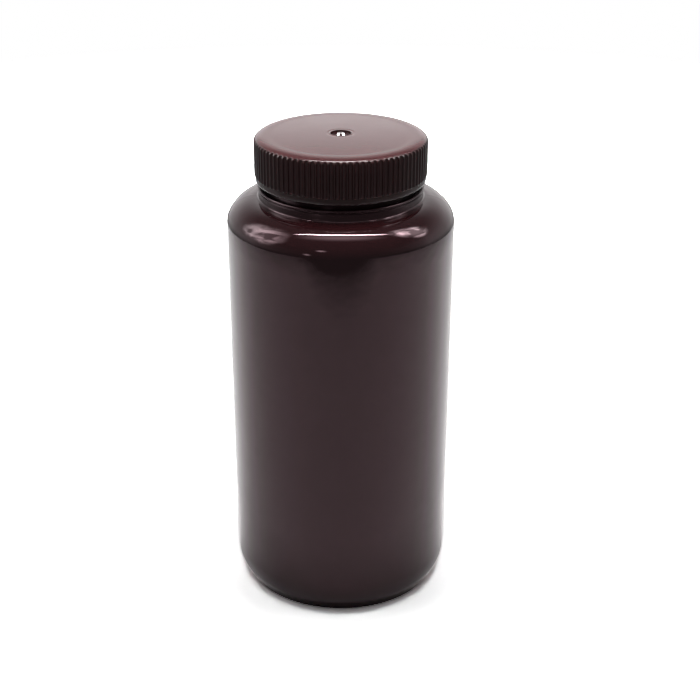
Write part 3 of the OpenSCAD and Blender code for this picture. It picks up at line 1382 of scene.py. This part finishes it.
@dataclass
class Studio:
    """Floor, room, lamps and camera. Lengths are metres.

    The bottle stands on a white sheet in a dim room, which is brighter behind it. Over it
    hang a long card that is only mirrored and a broad lamp that only throws light. A wide
    dim one hangs a little in front, cards stand at both sides and behind, and two small
    panes stand in front. Bearings are cosines: -1 is towards the camera and 1 away from
    it. A span holds two places, then the levels there.
    """

    sheet_size: float = 6.0
    # Distance and brightness of the sheet there, to the camera: lower around the foot, a
    # painted shadow over the real one, higher right at the foot, a painted light in that
    # shadow, and white further out
    sheet_seen: tuple[Point, ...] = (
        (0.041, 5.6), (0.0455, 1.95), (0.050, 1.6), (0.057, 1.75), (0.085, 3.9), (0.6, 6.0))
    # Its rise towards the sides, over the bearing: painted light that lightens the shadow
    # at the sides
    seen_rise: Span = (-0.75, -0.1, 1.0, 1.35)
    # Light that the sheet throws back at the bottle, over the distance
    sheet_bounce: Span = (0.20, 0.45, 0.035, 0.01)
    # Where the bottle mirrors the sheet: the share left next to the bottle, over the
    # bearing, and how far that reaches
    near_shade: Span = (-0.7, 0.3, 0.45, 1.8)
    near_reach: Point = (0.035, 0.10)
    # Its rise where the bottle stands, over the bearing, and how far that reaches: painted
    # light that the heel mirrors
    contact: Span = (-1.0, -0.5, 1.5, 6.0)
    contact_reach: Point = (0.040, 0.047)
    # Its rise towards the sides and the back, over the bearing: painted light
    side_rise: Span = (-1.0, 0.0, 1.0, 1.42)
    back_rise: Span = (0.0, 0.5, 1.0, 1.38)
    # Where the mirrored sheet gives way to the room, over the distance and in front
    sheet_end: Point = (0.42, 0.56)
    front_edge: Point = (-0.45, -0.345)
    # Where the sheet gives way to the white room behind it, to the camera
    camera_end: Point = (0.6, 1.0)
    # Bearing and brightness of the room there, from front to back
    room: tuple[Point, ...] = (
        (-1.0, .14), (-0.4, .28), (-0.05, .48), (0.12, .74), (0.6, .68), (0.8, .95), (1.0, 1.2))
    # Share of it left over the rise of the view, towards the ceiling and below the horizon
    room_fall: Span = (0.22, 0.66, 1.0, 0.22)
    room_low: Span = (-0.25, -0.08, 0.45, 1.0)
    # Least brightness of the room that the bottle mirrors, and the light that it throws
    room_least: float = 0.18
    room_fill: float = 0.08
    # Light from below, which only comes through the hole in the sheet under the push-up
    under_light: Span = (-0.8, -0.6, 0.45, 0.0)
    under_hole: Point = (0.0335, 0.0340)
    lamp_aim: Triple = (0.0, 0.0, 0.17)
    camera_at: Triple = (0.0, -0.5390, 0.3546)
    aim: Triple = (0.0, 0.0, 0.1021)
    # Focal length and width of the film, in millimetres
    lens: float = 72.64
    film: float = 36.0
    shift_x: float = 0.0131
    # Nearest and farthest that the camera sees
    clip: Point = (0.01, 20.0)

    def light_room(self) -> None:
        """Makes the world: white to the camera, and a lit room to everything else."""
        world = bpy.data.worlds.new("room")
        tree = blank_tree(world)
        way = add_node(tree, "TexCoord").outputs["Generated"]
        axes = add_node(tree, "SeparateXYZ", inputs=(way,))
        rise = axes.outputs["Z"]
        bearing = add_node(tree, "Math", {"operation": "MULTIPLY_ADD"},
                           (axes.outputs["Y"], 0.5, 0.5))
        walls = add_node(tree, "ValToRGB", inputs=(bearing,))
        ramp_stops(walls, [(0.5 + y / 2, grey(level)) for y, level in self.room])
        falls = [add_node(tree, "MapRange", inputs=(rise, *span))
                 for span in (self.room_fall, self.room_low)]
        share = add_node(tree, "Math", {"operation": "MULTIPLY"}, falls)
        level = add_node(tree, "Math", {"operation": "MULTIPLY"}, (walls, share))
        level = add_node(tree, "Math", {"operation": "MAXIMUM"}, (level, self.room_least))
        path = add_node(tree, "LightPath")
        mirrored = add_node(tree, "MapRange", inputs=(
            path.outputs["Is Glossy Ray"], 0.0, 1.0, self.room_fill, level))
        under = add_node(tree, "MapRange", inputs=(rise, *self.under_light))
        strength = add_node(tree, "Math", {"operation": "MAXIMUM"}, (mirrored, under))
        lit = add_node(tree, "Background", inputs=(grey(1.0), strength))
        white = add_node(tree, "Background", inputs=(grey(1.0),))
        seen = add_node(tree, "MixShader", inputs=(path.outputs["Is Camera Ray"], lit, white))
        add_node(tree, "OutputWorld", inputs=(seen,))
        bpy.context.scene.world = world

    def sheet_tone(self, tree: bpy.types.NodeTree, distance: bpy.types.NodeSocket,
                   bearing: bpy.types.Node, path: bpy.types.Node) -> bpy.types.Node:
        """Shades the paper for the camera, for what mirrors it and for what it lights.

        Args:
            tree: Node tree of the paper.
            distance: Socket of the distance from the axis.
            bearing: Node of the bearing.
            path: Node that tells the kinds of ray apart.

        Returns:
            The node of the paper's brightness.
        """
        near = add_node(tree, "MapRange", inputs=(bearing, *self.near_shade))
        mirrored = add_node(tree, "MapRange", inputs=(distance, *self.near_reach, near, 1.0))
        # Painted light on the mirrored sheet at the foot, the sides and the back
        touch = add_node(tree, "MapRange", inputs=(bearing, *self.contact))
        rises = [add_node(tree, "MapRange", inputs=(distance, *self.contact_reach, touch, 1.0))]
        rises += [add_node(tree, "MapRange", inputs=(bearing, *span))
                  for span in (self.side_rise, self.back_rise)]
        for rise in rises:
            mirrored = add_node(tree, "Math", {"operation": "MULTIPLY"}, (mirrored, rise))
        bounce = add_node(tree, "MapRange", inputs=(distance, *self.sheet_bounce))
        other = add_node(tree, "MapRange", inputs=(
            path.outputs["Is Glossy Ray"], 0.0, 1.0, bounce, mirrored))
        # Painted shadow and light around the foot, to the camera
        to_sides = add_node(tree, "MapRange", inputs=(bearing, *self.seen_rise))
        seen = add_node(tree, "Math", {"operation": "MULTIPLY"},
                        (profile(tree, distance, self.sheet_seen), to_sides))
        return add_node(tree, "MapRange", inputs=(
            path.outputs["Is Camera Ray"], 0.0, 1.0, other, seen))

    def sheet_finish(self) -> bpy.types.Material:
        """Makes the matt white paper of the floor.

        Returns:
            The material: white to the camera but for the shadow, which painted shade and light
            reshape around the foot, and fading out around the bottle in what the bottle mirrors.
        """
        material = bpy.data.materials.new("white_paper")
        tree = blank_tree(material)
        place = add_node(tree, "TexCoord").outputs["Object"]
        distance = add_node(tree, "VectorMath", {"operation": "LENGTH"},
                            (place,)).outputs["Value"]
        ahead = add_node(tree, "SeparateXYZ", inputs=(place,)).outputs["Y"]
        bearing = add_node(tree, "Math", {"operation": "DIVIDE"}, (ahead, distance))
        path = add_node(tree, "LightPath")
        mirror, camera = path.outputs["Is Glossy Ray"], path.outputs["Is Camera Ray"]
        tone = self.sheet_tone(tree, distance, bearing, path)
        paper = add_node(tree, "BsdfDiffuse", inputs=(tone,))
        clear = add_node(tree, "BsdfTransparent")
        gone: Any = add_node(tree, "NewGeometry").outputs["Backfacing"]
        for value, *span in ((distance, *self.sheet_end, 0.0, mirror),
                             (ahead, *self.front_edge, mirror, 0.0),
                             (distance, *self.camera_end, 0.0, camera),
                             (distance, *self.under_hole, 1.0, 0.0)):
            part = add_node(tree, "MapRange", inputs=(value, *span))
            gone = add_node(tree, "Math", {"operation": "MAXIMUM"}, (gone, part))
        sheet = add_node(tree, "MixShader", inputs=(gone, paper, clear))
        add_node(tree, "OutputMaterial", inputs=(sheet,))
        return material

    def lay_sheet(self) -> None:
        """Lays the floor."""
        half = self.sheet_size / 2
        mesh = bpy.data.meshes.new("floor_sheet")
        mesh.from_pydata([(-half, -half, 0), (half, -half, 0), (half, half, 0),
                          (-half, half, 0)], [], [(0, 1, 2, 3)])
        sheet = bpy.data.objects.new("floor_sheet", mesh)
        mesh.materials.append(self.sheet_finish())
        bpy.context.scene.collection.objects.link(sheet)

    def set_camera(self) -> None:
        """Sets up the camera."""
        data = bpy.data.cameras.new("camera")
        data.lens = self.lens
        data.sensor_width = self.film
        data.shift_x = self.shift_x
        data.clip_start, data.clip_end = self.clip
        camera = bpy.data.objects.new("camera", data)
        camera.location = self.camera_at
        aim = Vector(self.aim) - Vector(self.camera_at)
        camera.rotation_euler = aim.to_track_quat("-Z", "Y").to_euler()
        bpy.context.scene.collection.objects.link(camera)
        bpy.context.scene.camera = camera

    def build(self) -> None:
        """Makes the whole studio."""
        bpy.context.scene.view_settings.view_transform = "Standard"
        self.set_camera()
        self.light_room()
        self.lay_sheet()
        for softbox in SOFTBOXES:
            softbox.hang(Vector(self.lamp_aim))


# ---------------------------------------------------------------- assembly


def fit(piece: bpy.types.Object, body: Body, slot: Slot, *nodes: str) -> None:
    """Puts a piece in place of its nodes and makes it move with its body.

    Args:
        piece: The finished piece.
        body: Body that it rides on.
        slot: Material slot that its finish belongs to; not used.
        nodes: Nodes of the frame that it stands for.
    """
    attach(piece, body.value)
    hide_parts(*nodes)
    LOG.info("%s: %d faces, for %s", piece.name, len(piece.data.polygons), ", ".join(nodes))


def main() -> None:
    """Builds the studio and the three pieces, and logs their face counts."""
    logging.basicConfig(level=logging.INFO, format="%(name)s: %(message)s")
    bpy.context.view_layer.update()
    Studio().build()
    fit(Bottle().build(BlownPolyethylene()), Body.BOTTLE, Slot.AMBER_POLYETHYLENE,
        "bottle_base", "bottle_wall", "bottle_shoulder", "bottle_neck")
    fit(ScrewCap().build(MouldedPolypropylene()), Body.CAP, Slot.BROWN_POLYPROPYLENE,
        "screw_cap")
    fit(SealingDisc().build(FoamedPolyethylene()), Body.LINER, Slot.FOAMED_POLYETHYLENE,
        "cap_liner")


if __name__ == "__main__":
    main()
